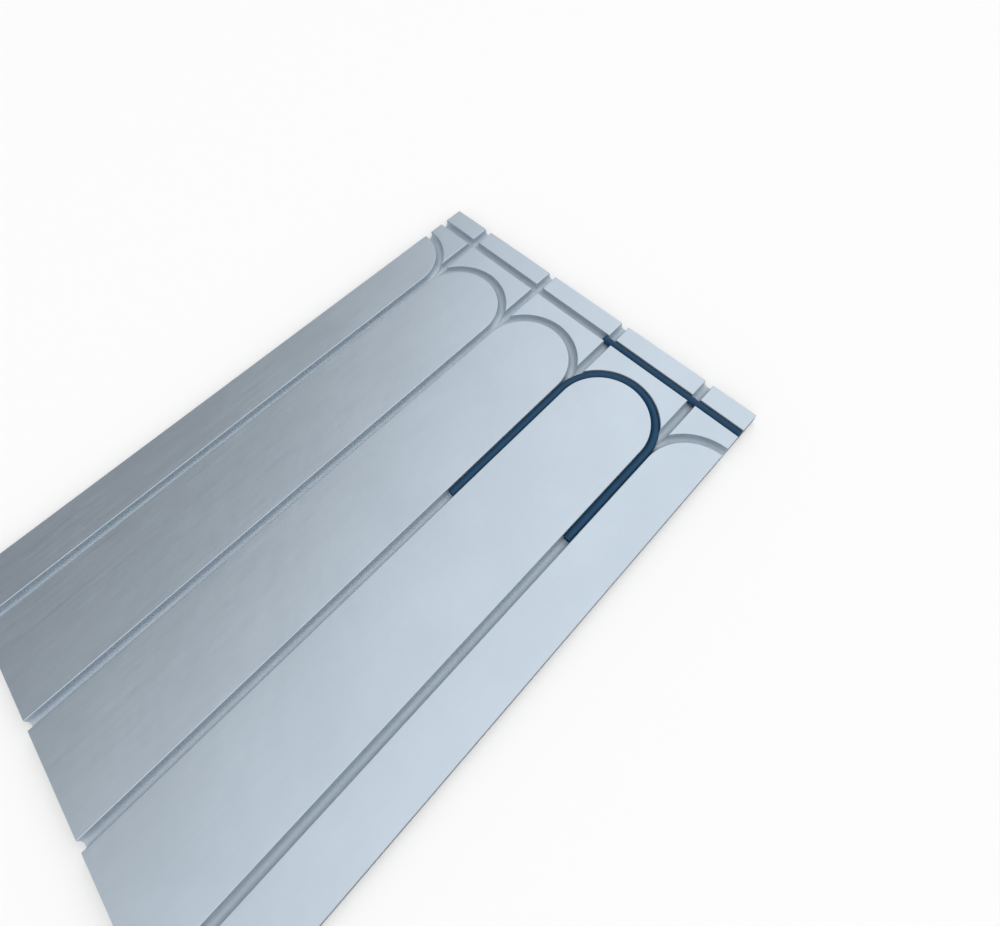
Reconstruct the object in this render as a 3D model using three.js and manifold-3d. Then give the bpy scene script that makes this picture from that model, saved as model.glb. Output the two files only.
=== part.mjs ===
// Dry underfloor heating panel: a foam board with moulded pipe channels, an aluminium foil facing pressed
// into them, and two lengths of heating pipe laid in the channels.
// Millimetres, +Z up. The origin is the centre of the board's underside. +X runs across the long channels and
// +Y along them, towards the end edge that the return bends face.
import * as THREE from "three";
import { mergeVertices } from "three/addons/utils/BufferGeometryUtils.js";
import Module from "manifold-3d";

// Panel
const panelLength = 1200;
const panelThickness = 25;

// Long channels: the outer ones lie half a pitch from the side edges, so panels laid side by side keep the pitch
const channelPitch = 200;
const channelCount = 4;

// Distances of the cross channel's centre line and of the return bends' crowns from the end edge
const crossChannelInset = 50;
const bendCrownInset = 100;

// Pipe: 16 x 2 mm, with its crown just under the foil
const pipeDiameter = 16;
const pipeWall = 2;
const pipeCrownDepth = 0.5;

// Channel: clearance all round the pipe, and the rounded edge where the foil turns down
const pipeClearance = 0.3;
const lipRadius = 1.5;

// Foil, and the glue line under it
const foilThickness = 0.5;
const glueLine = 0.3;

// Pipe laid round one return bend: its straight legs beyond the bend
const longLegLength = 292;
const shortLegLength = 210;

// Pipe laid in the cross channel, from just past a long channel to the side edge
const crossRunOverhang = 14;

// Long channels to the left of the looped pipe, which stay empty. Its legs lie in the next two.
const emptyChannelCount = 2;
const longLegChannel = emptyChannelCount;
const shortLegChannel = emptyChannelCount + 1;

// Roundness: steps in a channel's round bottom, in a lip, round the pipe and round a half circle bend
const bottomSteps = 8;
const lipSteps = 2;
const pipeSides = 16;
const bendSteps = 18;

// How far cutting shapes run past the faces that they cut
const overcut = 5;

const panelWidth = channelCount * channelPitch;
const bendRadius = channelPitch / 2;
const sideEdge = panelWidth / 2;
const endEdge = panelLength / 2;
const crossChannelY = endEdge - crossChannelInset;
const bendCentreY = endEdge - bendCrownInset - bendRadius;
const pipeRadius = pipeDiameter / 2;
const pipeBoreRadius = pipeRadius - pipeWall;
const pipeCentreZ = panelThickness - pipeCrownDepth - pipeRadius;
const boardTop = panelThickness - foilThickness - glueLine;

const wasm = await Module();
wasm.setup();

function solidOf(geometry) {
  const bare = geometry.clone();
  bare.deleteAttribute("normal");
  bare.deleteAttribute("uv");
  const merged = mergeVertices(bare);
  const mesh = new wasm.Mesh({
    numProp: 3,
    vertProperties: merged.getAttribute("position").array,
    triVerts: new Uint32Array(merged.index.array),
  });
  return new wasm.Manifold(mesh);
}

function geometryOf(solid) {
  const mesh = solid.getMesh();
  const geometry = new THREE.BufferGeometry();
  geometry.setAttribute("position", new THREE.BufferAttribute(mesh.vertProperties, 3));
  geometry.setIndex(new THREE.BufferAttribute(mesh.triVerts, 1));
  geometry.computeVertexNormals();
  return geometry;
}

// A level route that a section is swept along. Each station is a point and the heading there, in radians from +X,
// so straight stretches take two rings and bends take as many as they need.
class LevelRoute extends THREE.Curve {
  constructor(stations, height) {
    super();
    this.stations = stations;
    this.height = height;
  }

  getSpacedPoints() {
    return this.stations.map(({ x, y }) => new THREE.Vector3(x, y, this.height));
  }

  computeFrenetFrames() {
    const headings = this.stations.map(({ heading }) => heading);
    return {
      tangents: headings.map((a) => new THREE.Vector3(Math.cos(a), Math.sin(a), 0)),
      normals: headings.map((a) => new THREE.Vector3(-Math.sin(a), Math.cos(a), 0)),
      binormals: headings.map(() => new THREE.Vector3(0, 0, 1)),
    };
  }
}

// Sweeps a section along a route. The section's x points to the left of the route and its y points up.
function sweep(section, route) {
  const steps = route.stations.length - 1;
  return new THREE.ExtrudeGeometry(section, { steps, extrudePath: route });
}

function straight(x0, y0, x1, y1) {
  const heading = Math.atan2(y1 - y0, x1 - x0);
  return [
    { x: x0, y: y0, heading },
    { x: x1, y: y1, heading },
  ];
}

// Stations on a bend about a centre, from one polar angle to another
function bend(centreX, fromAngle, toAngle) {
  const steps = Math.round((bendSteps * Math.abs(toAngle - fromAngle)) / Math.PI);
  const turn = Math.sign(toAngle - fromAngle) * (Math.PI / 2);
  const stations = [];
  for (let i = 0; i <= steps; i++) {
    const angle = fromAngle + ((toAngle - fromAngle) * i) / steps;
    stations.push({
      x: centreX + bendRadius * Math.cos(angle),
      y: bendCentreY + bendRadius * Math.sin(angle),
      heading: angle + turn,
    });
  }
  return stations;
}

function arcPoints(centreX, centreY, radius, fromAngle, toAngle, steps) {
  const points = [];
  for (let i = 0; i <= steps; i++) {
    const angle = fromAngle + ((toAngle - fromAngle) * i) / steps;
    const x = centreX + radius * Math.cos(angle);
    const y = centreY + radius * Math.sin(angle);
    points.push(new THREE.Vector2(x, y));
  }
  return points;
}

const channelX = (index) => (index + 0.5) * channelPitch - sideEdge;
const bendCentreX = (index) => index * channelPitch - sideEdge;

// Section of a channel, drawn about the pipe's centre: a round bottom, straight walls and rounded lips, open above.
// The offset is how far the section lies outside the foil's visible face.
function channelSection(offset) {
  const halfWidth = pipeRadius + pipeClearance;
  const faceHeight = panelThickness - pipeCentreZ;
  const lipX = halfWidth + lipRadius;
  const lipY = faceHeight - lipRadius;
  const right = Math.PI / 2;
  return new THREE.Shape([
    new THREE.Vector2(-lipX, faceHeight + overcut),
    ...arcPoints(-lipX, lipY, lipRadius - offset, right, 0, lipSteps),
    ...arcPoints(0, 0, halfWidth + offset, 2 * right, 4 * right, bottomSteps),
    ...arcPoints(lipX, lipY, lipRadius - offset, 2 * right, right, lipSteps),
    new THREE.Vector2(lipX, faceHeight + overcut),
  ]);
}

// Every channel of the panel as one solid
function channelNetwork(offset) {
  const section = channelSection(offset);
  const endY = endEdge + overcut;
  const sideX = sideEdge + overcut;
  const crownY = bendCentreY + bendRadius;
  const routes = [straight(-sideX, crossChannelY, sideX, crossChannelY)];
  for (let i = 0; i < channelCount; i++) {
    routes.push(straight(channelX(i), -endY, channelX(i), endY));
  }
  for (let i = 1; i < channelCount; i++) {
    routes.push(bend(bendCentreX(i), 0, Math.PI));
  }
  // Quarter bends that run on into the next panel at each side
  routes.push([
    ...bend(bendCentreX(0), 0, Math.PI / 2),
    { x: -sideX, y: crownY, heading: Math.PI },
  ]);
  routes.push([
    ...bend(bendCentreX(channelCount), Math.PI, Math.PI / 2),
    { x: sideX, y: crownY, heading: 0 },
  ]);
  return routes
    .map((stations) => solidOf(sweep(section, new LevelRoute(stations, pipeCentreZ))))
    .reduce((network, channel) => network.add(channel));
}

function slab(bottom, top) {
  const geometry = new THREE.BoxGeometry(panelWidth, panelLength, top - bottom);
  return solidOf(geometry.translate(0, 0, (bottom + top) / 2));
}

function insulationBoard() {
  return geometryOf(slab(0, boardTop).subtract(channelNetwork(foilThickness + glueLine)));
}

function foilFacing() {
  const trays = slab(0, panelThickness).intersect(channelNetwork(foilThickness));
  const sheet = slab(panelThickness - foilThickness, panelThickness);
  return geometryOf(sheet.add(trays).subtract(channelNetwork(0)));
}

function pipe(stations) {
  const ring = new THREE.Shape(arcPoints(0, 0, pipeRadius, 0, 2 * Math.PI, pipeSides).slice(1));
  ring.holes.push(new THREE.Path(arcPoints(0, 0, pipeBoreRadius, 0, 2 * Math.PI, pipeSides).slice(1)));
  return geometryOf(solidOf(sweep(ring, new LevelRoute(stations, pipeCentreZ))));
}

function returnLoop() {
  const upX = channelX(longLegChannel);
  const downX = channelX(shortLegChannel);
  return pipe([
    { x: upX, y: bendCentreY - longLegLength, heading: Math.PI / 2 },
    ...bend(bendCentreX(shortLegChannel), Math.PI, 0),
    { x: downX, y: bendCentreY - shortLegLength, heading: -Math.PI / 2 },
  ]);
}

function crossRun() {
  return pipe(straight(channelX(longLegChannel) - crossRunOverhang, crossChannelY, sideEdge, crossChannelY));
}

const foam = new THREE.MeshStandardMaterial({ color: 0x7c8184, roughness: 0.9, metalness: 0 });
const aluminium = new THREE.MeshStandardMaterial({ color: 0xbccad3, roughness: 0.38, metalness: 0.9 });
const bluePlastic = new THREE.MeshStandardMaterial({ color: 0x1d4468, roughness: 0.4, metalness: 0 });

function part(name, geometry, material) {
  const mesh = new THREE.Mesh(geometry, material);
  mesh.name = name;
  return mesh;
}

const panel = new THREE.Group();
panel.add(
  part("insulation_board", insulationBoard(), foam),
  part("foil_facing", foilFacing(), aluminium),
  part("pipe_return_loop", returnLoop(), bluePlastic),
  part("pipe_cross_run", crossRun(), bluePlastic),
);

export default panel;
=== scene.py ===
"""The looks of the dry underfloor heating panel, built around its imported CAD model. Metres, +Z up."""

import math

import bmesh
import bpy
from mathutils import Matrix, Vector, noise


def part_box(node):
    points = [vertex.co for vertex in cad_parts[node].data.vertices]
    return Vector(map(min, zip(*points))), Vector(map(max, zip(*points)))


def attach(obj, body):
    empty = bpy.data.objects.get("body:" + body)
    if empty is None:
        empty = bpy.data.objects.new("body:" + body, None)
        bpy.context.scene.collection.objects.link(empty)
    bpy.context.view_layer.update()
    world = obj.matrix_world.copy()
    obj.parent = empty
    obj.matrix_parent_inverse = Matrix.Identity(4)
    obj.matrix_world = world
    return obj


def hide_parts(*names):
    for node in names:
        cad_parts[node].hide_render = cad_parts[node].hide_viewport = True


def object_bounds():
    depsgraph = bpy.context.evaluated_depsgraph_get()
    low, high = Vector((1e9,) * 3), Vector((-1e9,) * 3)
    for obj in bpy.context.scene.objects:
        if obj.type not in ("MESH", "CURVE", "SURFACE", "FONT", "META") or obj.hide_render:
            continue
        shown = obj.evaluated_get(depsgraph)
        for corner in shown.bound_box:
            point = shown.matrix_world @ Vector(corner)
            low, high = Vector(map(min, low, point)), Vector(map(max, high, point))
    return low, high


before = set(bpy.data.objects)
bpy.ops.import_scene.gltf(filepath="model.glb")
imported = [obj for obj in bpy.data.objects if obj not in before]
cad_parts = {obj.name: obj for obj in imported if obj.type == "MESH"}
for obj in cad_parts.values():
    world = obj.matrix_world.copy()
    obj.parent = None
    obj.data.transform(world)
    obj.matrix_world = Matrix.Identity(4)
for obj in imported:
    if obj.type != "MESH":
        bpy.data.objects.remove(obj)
cad_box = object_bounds()

# Sizes that the frame gives: the channels follow the pipes that lie in them
panel_low, panel_high = (Vector(corner) for corner in cad_box)
cross_low, cross_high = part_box("pipe_cross_run")
loop_low, loop_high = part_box("pipe_return_loop")
board_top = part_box("insulation_board")[1].z
pipe_radius = (cross_high.z - cross_low.z) / 2
pipe_height = (cross_high.z + cross_low.z) / 2
cross_y = (cross_high.y + cross_low.y) / 2
long_leg_x = loop_low.x + pipe_radius
short_leg_x = loop_high.x - pipe_radius
pitch = short_leg_x - long_leg_x
bend_radius = pitch / 2
crown_y = loop_high.y - pipe_radius
bend_y = crown_y - bend_radius

# Sizes that it doesn't give
PIPE_WALL = 0.002
PIPE_CLEARANCE = 0.0003
PIPE_END_CHAMFER = 0.0003
SHORT_LEG = 0.210
LIP_RADIUS = 0.0015
FOIL_THICKNESS = 0.0005

# Steps of the fine meshes: in a half circle bend, in a channel's round bottom and in its lip, and round the
# pipe. The grid step is the length of a step along straight stretches and across the foil's face.
BEND_STEPS = 72
BOTTOM_STEPS = 20
LIP_STEPS = 5
PIPE_SIDES = 56
GRID_STEP = 0.02

# Edges that turn by more than this stay sharp
SHARP_ANGLE = math.radians(40)

# How far cutting shapes run past the faces that they cut, and the shortest edge that a cut leaves
OVERCUT = 0.005
SHORTEST_EDGE = 0.0000005

# The photograph's frame in pixels, and the point of it that the camera faces
FRAME_WIDTH = 1000
FRAME_HEIGHT = 926
OPTICAL_CENTRE_X = 480
OPTICAL_CENTRE_Y = 340

# The photograph's camera, fitted to the panel's straight lines and bends. Its lens and sensor are in
# millimetres.
CAMERA_PLACE = Vector((0.4755, -0.0669, 1.0826))
CAMERA_AIM = Vector((-0.0948, 0.3715, 0.025))
CAMERA_ROLL = math.radians(-8.188)
LENS = 22.296
SENSOR_WIDTH = 36

# Half the width of the floor
FLOOR_REACH = 4

# Strength of the light near the horizon and overhead, and the heights that it changes between. A height is
# that of a direction: 0 is level and 1 is straight up.
HORIZON_LIGHT = 0.92
OVERHEAD_LIGHT = 1.40
BRIGHTENING_HEIGHTS = (0.2, 0.8)

# The side of the studio that is darker, and how far a direction points to that side where the dark begins
# and where it is full. Of the light, a larger share is left there in low directions than in high ones, and
# it changes between two heights.
DARK_SIDE = Vector((-0.93, -0.37, 0)).normalized()
DARKENING_SPAN = (0.22, 0.57)
DARK_SHARE_LOW = 0.90
DARK_SHARE_HIGH = 0.25
DARK_HEIGHTS = (0.10, 0.50)

# How far the foil's face sinks in its gentle waves
WAVE_DEPTH = 0.00012
WAVES_PER_METRE = 7.0

# Depths below its face between which the foil turns duller, and between which its colour is painted paler:
# painted light that brightens the shaded channels
DULLING_START = 0.0002
DULLING_END = 0.0010
PAINTED_LIGHT_START = 0.0015
PAINTED_LIGHT_END = 0.0040

# Colours
FOIL_TONES = ((0.435, 0.502, 0.569, 1), (0.475, 0.546, 0.616, 1))
# The foil's colour deep in the channels, painted paler than its face: painted light for the shaded channels
PAINTED_PALER_CHANNEL_FOIL = (0.550, 0.615, 0.670, 1)
BEAD_TONES = ((0.170, 0.186, 0.196, 1), (0.232, 0.248, 0.258, 1))
BEAD_JOINTS = (0.120, 0.131, 0.139, 1)
PIPE_TONES = ((0.003, 0.040, 0.094, 1), (0.005, 0.048, 0.110, 1))
PALE_FLOOR = (0.93, 0.93, 0.93, 1)
WHITE = (1, 1, 1, 1)

# Roughness, from least to most where it varies, and the pipe's specular level
FACE_ROUGHNESS = (0.29, 0.43)
CHANNEL_ROUGHNESS = (0.68, 0.82)
FOAM_ROUGHNESS = 0.78
PIPE_ROUGHNESS = (0.32, 0.50)
PIPE_SPECULAR = 0.25
FLOOR_ROUGHNESS = 0.9

# How often the finishes' patterns repeat in a metre. The foil was rolled along Y, and the pipe's lines run
# along it.
CLOUDS = 7
STREAKS = (900, 9, 900)
HAIRLINES = (3200, 26, 3200)
DENTS = 26
BEADS = 280
BEAD_GRAIN = 2500
PIPE_LINES = (700, 700, 6)
PIPE_PATCHES = 40

# How deep they are
ROLLED_DEPTH = 0.00004
DENT_DEPTH = 0.0003
BEAD_DEPTH = 0.0005
BEAD_GRAIN_DEPTH = 0.00006
PIPE_LINE_DEPTH = 0.00006

# What most of a noise lies between, and most of the average of two
NOISE_SPAN = (0.3, 0.7)
AVERAGE_SPAN = (0.35, 0.65)

# How far in from a bead's edge the joint and the rounding reach, in spacings of the beads
JOINT_REACH = 0.06
ROUNDING_REACH = 0.30


def arc(centre_x, centre_y, radius, start, end, steps):
    """Points on an arc, both ends included."""
    angles = [start + (end - start) * i / steps for i in range(steps + 1)]
    return [
        (centre_x + radius * math.cos(a), centre_y + radius * math.sin(a))
        for a in angles
    ]


def straight(x0, y0, x1, y1):
    """Stations (x, y, heading) along a straight stretch, about one grid step apart."""
    heading = math.atan2(y1 - y0, x1 - x0)
    steps = max(1, round(math.hypot(x1 - x0, y1 - y0) / GRID_STEP))
    return [
        (x0 + (x1 - x0) * i / steps, y0 + (y1 - y0) * i / steps, heading)
        for i in range(steps + 1)
    ]


def bend(centre_x, start, end):
    """Stations round a bend, from one polar angle to another."""
    steps = round(BEND_STEPS * abs(end - start) / math.pi)
    turn = math.copysign(math.pi / 2, end - start)
    angles = [start + (end - start) * i / steps for i in range(steps + 1)]
    points = arc(centre_x, bend_y, bend_radius, start, end, steps)
    return [(x, y, a + turn) for (x, y), a in zip(points, angles)]


def channel_section(offset):
    """A channel's outline about the pipe's centre: (left of the route, up). The offset is how far it lies
    outside the foil's visible face."""
    half_width = pipe_radius + PIPE_CLEARANCE
    face = panel_high.z - pipe_height
    lip_x = half_width + LIP_RADIUS
    lip_y = face - LIP_RADIUS
    quarter = math.pi / 2
    return [
        (-lip_x, face + OVERCUT),
        *arc(-lip_x, lip_y, LIP_RADIUS - offset, quarter, 0, LIP_STEPS),
        *arc(0, 0, half_width + offset, 2 * quarter, 4 * quarter, BOTTOM_STEPS),
        *arc(lip_x, lip_y, LIP_RADIUS - offset, 2 * quarter, quarter, LIP_STEPS),
        (lip_x, face + OVERCUT),
    ]


def new_object(name, mesh):
    piece = bpy.data.objects.new(name, mesh)
    bpy.context.scene.collection.objects.link(piece)
    return piece


def sweep(name, section, stations):
    """A closed solid: the section carried along the stations at the pipe's height."""
    bm = bmesh.new()
    rings = []
    for x, y, heading in stations:
        left = Vector((-math.sin(heading), math.cos(heading), 0))
        place = Vector((x, y, pipe_height))
        rings.append([bm.verts.new(place + left * u + Vector((0, 0, v))) for u, v in section])
    for ring, after in zip(rings, rings[1:]):
        for i in range(len(section)):
            j = (i + 1) % len(section)
            bm.faces.new((ring[i], ring[j], after[j], after[i]))
    bm.faces.new(rings[0][::-1])
    bm.faces.new(rings[-1])
    bmesh.ops.recalc_face_normals(bm, faces=bm.faces)
    mesh = bpy.data.meshes.new(name)
    bm.to_mesh(mesh)
    bm.free()
    return new_object(name, mesh)


def channel_routes():
    """The stations of every channel of the panel."""
    side = panel_high.x + OVERCUT
    end = panel_high.y + OVERCUT
    count = round((panel_high.x - panel_low.x) / pitch)
    routes = [straight(-side, cross_y, side, cross_y)]
    for i in range(count):
        x = panel_low.x + (i + 0.5) * pitch
        routes.append(straight(x, -end, x, end))
    for i in range(1, count):
        routes.append(bend(panel_low.x + i * pitch, 0, math.pi))
    routes.append(bend(panel_low.x, 0, math.pi / 2) + [(-side, crown_y, math.pi)])
    routes.append(bend(panel_high.x, math.pi, math.pi / 2) + [(side, crown_y, 0)])
    return routes


def slab(name, bottom, top, margin=0, grid=False):
    """A block as wide and long as the panel. With the grid, its faces can carry the foil's gentle waves."""
    low = Vector((panel_low.x - margin, panel_low.y - margin, bottom))
    high = Vector((panel_high.x + margin, panel_high.y + margin, top))
    size = high - low
    bm = bmesh.new()
    bmesh.ops.create_cube(bm, size=1)
    bmesh.ops.scale(bm, verts=bm.verts, vec=size)
    bmesh.ops.translate(bm, verts=bm.verts, vec=(low + high) / 2)
    if grid:
        add_grid_lines(bm, low, size, axis=0)
        add_grid_lines(bm, low, size, axis=1)
    mesh = bpy.data.meshes.new(name)
    bm.to_mesh(mesh)
    bm.free()
    return new_object(name, mesh)


def add_grid_lines(bm, low, size, axis):
    """Splits a block's faces about every grid step along one axis."""
    steps = round(size[axis] / GRID_STEP)
    normal = Vector((0, 0, 0))
    normal[axis] = 1
    for i in range(1, steps):
        place = low.copy()
        place[axis] += size[axis] * i / steps
        parts = bm.verts[:] + bm.edges[:] + bm.faces[:]
        bmesh.ops.bisect_plane(bm, geom=parts, plane_co=place, plane_no=normal)


def cut(piece, cutters):
    """Takes the cutters away from the piece and deletes them."""
    for cutter in cutters:
        boolean = piece.modifiers.new("cut", "BOOLEAN")
        boolean.operation = "DIFFERENCE"
        boolean.solver = "MANIFOLD"
        boolean.object = cutter
    graph = bpy.context.evaluated_depsgraph_get()
    mesh = bpy.data.meshes.new_from_object(piece.evaluated_get(graph))
    bm = bmesh.new()
    bm.from_mesh(mesh)
    bmesh.ops.dissolve_degenerate(bm, edges=bm.edges, dist=SHORTEST_EDGE)
    bm.to_mesh(mesh)
    bm.free()
    piece.modifiers.clear()
    old = piece.data
    piece.data = mesh
    bpy.data.meshes.remove(old)
    for cutter in cutters:
        bpy.data.meshes.remove(cutter.data)


def channels(offset):
    """A cutter for each channel."""
    section = channel_section(offset)
    return [
        sweep(f"channel_{i}", section, route)
        for i, route in enumerate(channel_routes())
    ]


def finish_piece(piece, node, material):
    """Smooth shading over gentle edges, the material, and the piece's place in the frame."""
    mesh = piece.data
    mesh.shade_smooth()
    mesh.set_sharp_from_angle(angle=SHARP_ANGLE)
    weighted = piece.modifiers.new("weighted_normals", "WEIGHTED_NORMAL")
    weighted.keep_sharp = True
    mesh.materials.clear()
    mesh.materials.append(material)
    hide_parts(node)
    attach(piece, "root")


def make_board(material):
    """The foam board, cut out for the foil's channels."""
    piece = slab("foam_board", panel_low.z, board_top)
    cut(piece, channels(panel_high.z - board_top))
    finish_piece(piece, "insulation_board", material)


def make_foil(material):
    """The foil: its face and, in the channels, the skin left between two offsets of the same outline."""
    under = slab("under_foil", panel_low.z - OVERCUT, panel_high.z - FOIL_THICKNESS, OVERCUT)
    cut(under, channels(FOIL_THICKNESS))
    piece = slab("foil_skin", panel_low.z, panel_high.z, grid=True)
    cut(piece, [under, *channels(0)])
    for vertex in piece.data.vertices:
        place = Vector((vertex.co.x, vertex.co.y, 0)) * WAVES_PER_METRE
        swell = max(-1, min(1, noise.noise(place)))
        vertex.co.z -= WAVE_DEPTH * (0.5 + 0.5 * swell)
    finish_piece(piece, "foil_facing", material)


def make_pipe(name, node, stations, material):
    """A tube with lightly chamfered ends. Its skin attribute holds each point's place round and along it."""
    bore = pipe_radius - PIPE_WALL
    first, last = stations[0], stations[-1]
    pulled_in = [shifted(first, PIPE_END_CHAMFER), *stations[1:-1], shifted(last, -PIPE_END_CHAMFER)]
    rings = [(station, bore) for station in stations]
    rings.append((last, pipe_radius - PIPE_END_CHAMFER))
    rings += [(station, pipe_radius) for station in reversed(pulled_in)]
    rings.append((first, pipe_radius - PIPE_END_CHAMFER))
    bm = bmesh.new()
    skin = bm.verts.layers.float_vector.new("skin")
    loops = []
    along = 0
    before = rings[0][0]
    for (x, y, heading), radius in rings:
        along += math.hypot(x - before[0], y - before[1])
        before = (x, y)
        left = Vector((-math.sin(heading), math.cos(heading), 0))
        loop = []
        for u, v in arc(0, 0, radius, 0, 2 * math.pi, PIPE_SIDES)[1:]:
            vertex = bm.verts.new(Vector((x, y, pipe_height + v)) + left * u)
            vertex[skin] = (u, v, along)
            loop.append(vertex)
        loops.append(loop)
    for loop, after in zip(loops, loops[1:] + loops[:1]):
        for i in range(PIPE_SIDES):
            j = (i + 1) % PIPE_SIDES
            bm.faces.new((loop[i], loop[j], after[j], after[i]))
    bmesh.ops.recalc_face_normals(bm, faces=bm.faces)
    mesh = bpy.data.meshes.new(name)
    bm.to_mesh(mesh)
    bm.free()
    finish_piece(new_object(name, mesh), node, material)


def shifted(station, distance):
    """The station moved along its own heading."""
    x, y, heading = station
    return (x + distance * math.cos(heading), y + distance * math.sin(heading), heading)


def make_return_loop(material):
    """The pipe laid in two neighbouring channels and round the bend that joins them."""
    stations = [
        (long_leg_x, loop_low.y, math.pi / 2),
        *bend(long_leg_x + bend_radius, math.pi, 0),
        (short_leg_x, bend_y - SHORT_LEG, -math.pi / 2),
    ]
    make_pipe("return_loop", "pipe_return_loop", stations, material)


def make_cross_run(material):
    """The straight pipe laid in the cross channel, as far as the panel's side."""
    stations = straight(cross_low.x, cross_y, cross_high.x, cross_y)
    make_pipe("cross_run", "pipe_cross_run", stations, material)


class Nodes:
    """A node tree, with short calls for the nodes that these finishes use."""

    def __init__(self, tree, shader, coordinates):
        self.tree = tree
        self.shader = tree.nodes[shader]
        self.place = tree.nodes.new("ShaderNodeTexCoord").outputs[coordinates]

    def feed(self, socket, value):
        if isinstance(value, bpy.types.NodeSocket):
            self.tree.links.new(value, socket)
        else:
            socket.default_value = value

    def add(self, kind, inputs, **settings):
        node = self.tree.nodes.new(kind)
        for name, value in settings.items():
            setattr(node, name, value)
        for name, value in inputs.items():
            self.feed(node.inputs[name], value)
        return node

    def attribute(self, name):
        return self.add("ShaderNodeAttribute", {}, attribute_name=name).outputs["Vector"]

    def stretched(self, place, scale):
        return self.add("ShaderNodeMapping", {"Vector": place, "Scale": scale}).outputs["Vector"]

    def noise(self, place, scale, detail):
        inputs = {"Vector": place, "Scale": scale, "Detail": detail}
        return self.add("ShaderNodeTexNoise", inputs).outputs["Fac"]

    def beads(self, scale, feature):
        inputs = {"Vector": self.place, "Scale": scale}
        return self.add("ShaderNodeTexVoronoi", inputs, feature=feature)

    def ranged(self, value, low, high, to_low, to_high, curve="LINEAR"):
        inputs = {"Value": value, "From Min": low, "From Max": high, "To Min": to_low, "To Max": to_high}
        return self.add("ShaderNodeMapRange", inputs, interpolation_type=curve).outputs["Result"]

    def average(self, first, second):
        total = self.add("ShaderNodeMath", {0: first, 1: second}, operation="ADD").outputs["Value"]
        return self.add("ShaderNodeMath", {0: total, 1: 0.5}, operation="MULTIPLY").outputs["Value"]

    def mixed(self, factor, first, second):
        node = self.add("ShaderNodeMix", {}, data_type="RGBA")
        factor_socket, first_socket, second_socket = node.inputs[0], node.inputs[6], node.inputs[7]
        self.feed(factor_socket, factor)
        self.feed(first_socket, first)
        self.feed(second_socket, second)
        return node.outputs[2]

    def bump(self, height, distance, after=None):
        inputs = {"Height": height, "Distance": distance}
        if after:
            inputs["Normal"] = after
        return self.add("ShaderNodeBump", inputs).outputs["Normal"]

    def set(self, **sockets):
        for name, value in sockets.items():
            self.feed(self.shader.inputs[name.replace("_", " ")], value)


def new_material(name):
    material = bpy.data.materials.new(name)
    material.use_nodes = True
    return material, Nodes(material.node_tree, "Principled BSDF", "Object")


def foil_material():
    """Satin rolled aluminium, duller where it was pressed down into the channels, and with its colour
    painted paler deep in them: painted light that brightens the shaded channels.
    """
    material, nodes = new_material("satin_foil")
    face_z = panel_high.z
    height = nodes.add("ShaderNodeSeparateXYZ", {"Vector": nodes.place}).outputs["Z"]
    on_face = nodes.ranged(height, face_z - DULLING_END, face_z - DULLING_START, 0, 1)
    # Deep in the channels the colour is painted paler: painted light that brightens their shade
    above_painted_light = nodes.ranged(height, face_z - PAINTED_LIGHT_END, face_z - PAINTED_LIGHT_START, 0, 1)
    streaks = nodes.noise(nodes.stretched(nodes.place, STREAKS), 1, 4)
    hairlines = nodes.noise(nodes.stretched(nodes.place, HAIRLINES), 1, 3)
    clouds = nodes.noise(nodes.place, CLOUDS, 3)
    tone = nodes.ranged(nodes.average(clouds, streaks), *AVERAGE_SPAN, 0, 1)
    colour = nodes.mixed(above_painted_light, PAINTED_PALER_CHANNEL_FOIL, nodes.mixed(tone, *FOIL_TONES))
    grain = nodes.average(streaks, hairlines)
    rolled = nodes.bump(grain, ROLLED_DEPTH)
    dented = nodes.bump(nodes.noise(nodes.place, DENTS, 2), DENT_DEPTH, after=rolled)
    channel_roughness = nodes.ranged(grain, *AVERAGE_SPAN, *CHANNEL_ROUGHNESS)
    face_roughness = nodes.ranged(grain, *AVERAGE_SPAN, *FACE_ROUGHNESS)
    roughness = nodes.ranged(on_face, 0, 1, channel_roughness, face_roughness)
    nodes.set(Base_Color=colour, Metallic=1, Roughness=roughness, Normal=dented)
    return material


def foam_material():
    """Moulded bead foam: matt grey domed beads with slightly darker joints between them."""
    material, nodes = new_material("bead_foam")
    tone = nodes.beads(BEADS, "F1").outputs["Color"]
    depth = nodes.beads(BEADS, "DISTANCE_TO_EDGE").outputs["Distance"]
    on_bead = nodes.ranged(depth, 0, JOINT_REACH, 0, 1)
    dome = nodes.ranged(depth, 0, ROUNDING_REACH, 0, 1, curve="SMOOTHERSTEP")
    colour = nodes.mixed(on_bead, BEAD_JOINTS, nodes.mixed(tone, *BEAD_TONES))
    grain = nodes.bump(nodes.noise(nodes.place, BEAD_GRAIN, 2), BEAD_GRAIN_DEPTH)
    domed = nodes.bump(dome, BEAD_DEPTH, after=grain)
    nodes.set(Base_Color=colour, Roughness=FOAM_ROUGHNESS, Normal=domed)
    return material


def pipe_material():
    """Extruded blue plastic with faint lines along the pipe."""
    material, nodes = new_material("blue_pipe")
    lines = nodes.noise(nodes.stretched(nodes.attribute("skin"), PIPE_LINES), 1, 3)
    patches = nodes.ranged(nodes.noise(nodes.place, PIPE_PATCHES, 2), *NOISE_SPAN, 0, 1)
    colour = nodes.mixed(patches, *PIPE_TONES)
    roughness = nodes.ranged(lines, *NOISE_SPAN, *PIPE_ROUGHNESS)
    nodes.set(Base_Color=colour, Roughness=roughness, Normal=nodes.bump(lines, PIPE_LINE_DEPTH))
    nodes.set(Specular_IOR_Level=PIPE_SPECULAR)
    return material


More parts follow.
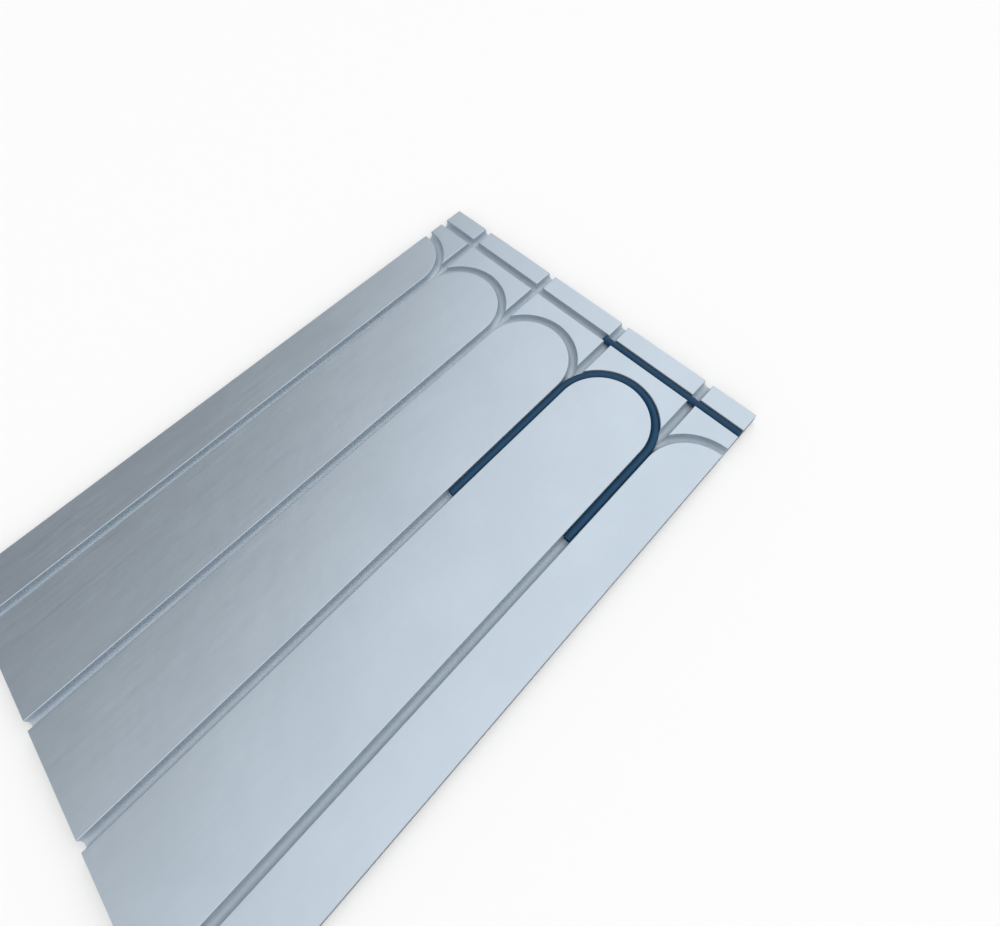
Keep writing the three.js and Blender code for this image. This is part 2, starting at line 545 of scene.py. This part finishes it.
def make_camera():
    """The photograph's view: from beyond the right side, steeply down at the end with the bends."""
    data = bpy.data.cameras.new("camera")
    data.sensor_width = SENSOR_WIDTH
    data.lens = LENS
    data.shift_x = (FRAME_WIDTH / 2 - OPTICAL_CENTRE_X) / FRAME_WIDTH
    data.shift_y = (OPTICAL_CENTRE_Y - FRAME_HEIGHT / 2) / FRAME_WIDTH
    camera = new_object("camera", data)
    camera.matrix_world = looking(CAMERA_PLACE, CAMERA_AIM) @ Matrix.Rotation(CAMERA_ROLL, 4, "Z")
    bpy.context.scene.camera = camera


def looking(place, aim):
    """The matrix of a camera at the place that faces the aim."""
    turn = (aim - place).to_track_quat("-Z", "Y").to_matrix().to_4x4()
    return Matrix.Translation(place) @ turn


def make_stage():
    """A plain pale floor under the panel."""
    reach = FLOOR_REACH
    corners = [(-reach, -reach, 0), (reach, -reach, 0), (reach, reach, 0), (-reach, reach, 0)]
    mesh = bpy.data.meshes.new("floor")
    mesh.from_pydata(corners, [], [(0, 1, 2, 3)])
    material, nodes = new_material("pale_floor")
    nodes.set(Base_Color=PALE_FLOOR, Roughness=FLOOR_ROUGHNESS)
    mesh.materials.append(material)
    new_object("floor", mesh)


def make_light():
    """A white studio, brightest overhead and darker towards one side, most of all above the horizon. The
    foil mirrors both, so its tone changes across the panel."""
    scene = bpy.context.scene
    scene.view_settings.view_transform = "Standard"
    world = bpy.data.worlds.new("studio")
    world.use_nodes = True
    nodes = Nodes(world.node_tree, "Background", "Generated")
    height = nodes.add("ShaderNodeSeparateXYZ", {"Vector": nodes.place}).outputs["Z"]
    sky = nodes.ranged(height, *BRIGHTENING_HEIGHTS, HORIZON_LIGHT, OVERHEAD_LIGHT)
    sideness = nodes.add("ShaderNodeVectorMath", {0: nodes.place, 1: DARK_SIDE}, operation="DOT_PRODUCT")
    darkest = nodes.ranged(height, *DARK_HEIGHTS, DARK_SHARE_LOW, DARK_SHARE_HIGH)
    side_light = nodes.ranged(sideness.outputs["Value"], *DARKENING_SPAN, 1, darkest)
    strength = nodes.add("ShaderNodeMath", {0: sky, 1: side_light}, operation="MULTIPLY")
    nodes.set(Color=WHITE, Strength=strength.outputs["Value"])
    scene.world = world


make_camera()
make_stage()
make_light()
make_board(foam_material())
make_foil(foil_material())
blue = pipe_material()
make_return_loop(blue)
make_cross_run(blue)
